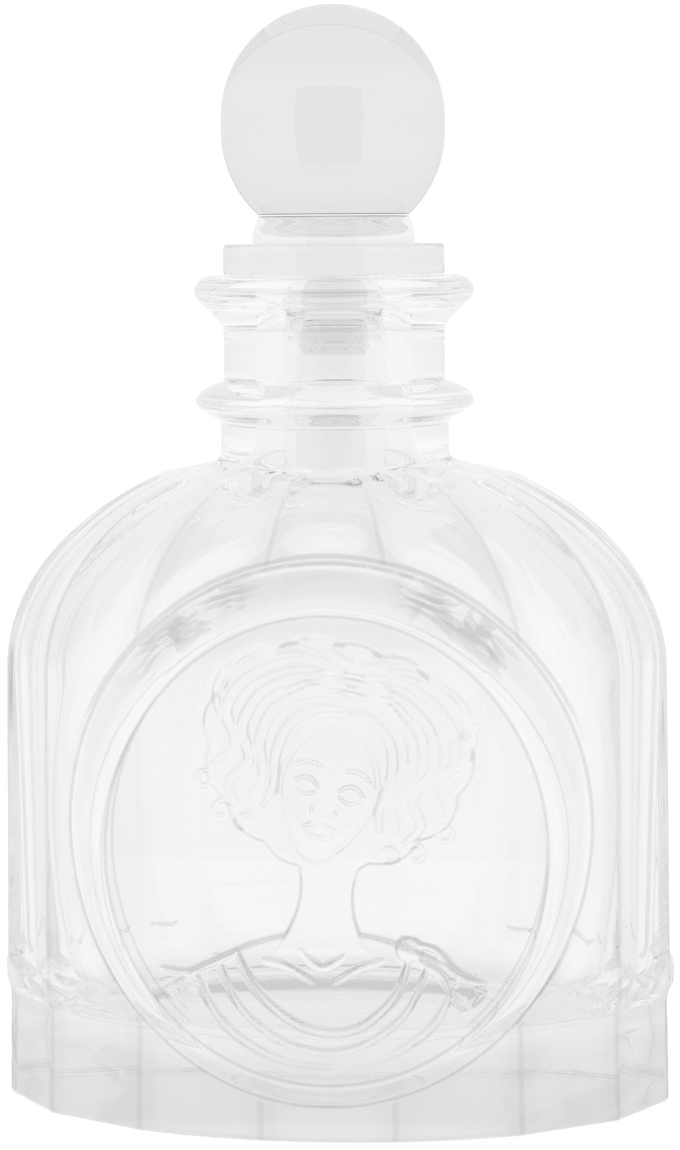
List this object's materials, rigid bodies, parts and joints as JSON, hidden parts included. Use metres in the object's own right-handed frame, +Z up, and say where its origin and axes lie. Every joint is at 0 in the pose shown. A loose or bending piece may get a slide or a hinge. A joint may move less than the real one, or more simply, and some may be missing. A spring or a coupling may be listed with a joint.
{
  "type": "glass carafe with ball stopper",
  "caption": "Clear glass carafe with an oval fluted body, a faceted heel, a raised oval medallion, a ringed neck and a lift-out ball stopper with a soft ribbed plug",
  "frame": {"origin": "where the axis of the neck meets the surface that the carafe stands on", "axes": "+Z up along the neck, +X along the wide side of the body, -Y out of the front with the medallion"},
  "size_m": [0.149, 0.0791, 0.2389],
  "materials": {
    "bottle_glass": "clear moulded glass, fire polished",
    "ball_glass": "clear solid glass, polished",
    "clear_moulding": "clear moulded plastic, glossy, faintly warm",
    "soft_seal": "translucent soft polyethylene, satin"
  },
  "bodies": {
    "bottle": {"bottle": "bottle_glass"},
    "sleeve": {"stopper_seal": "soft_seal"},
    "stopper": {"stopper_ball": "ball_glass", "stopper_base": "clear_moulding"}
  },
  "joints": [
    {"name": "stopper_lift", "type": "slide", "parent": "bottle", "child": "sleeve", "axis": [0, 0, 1], "range_m": [0, 0.06]},
    {"name": "stopper_turn", "type": "hinge", "parent": "sleeve", "child": "stopper", "pos_m": [0, 0, 0.1816], "axis": [0, 0, 1], "continuous": true}
  ]
}
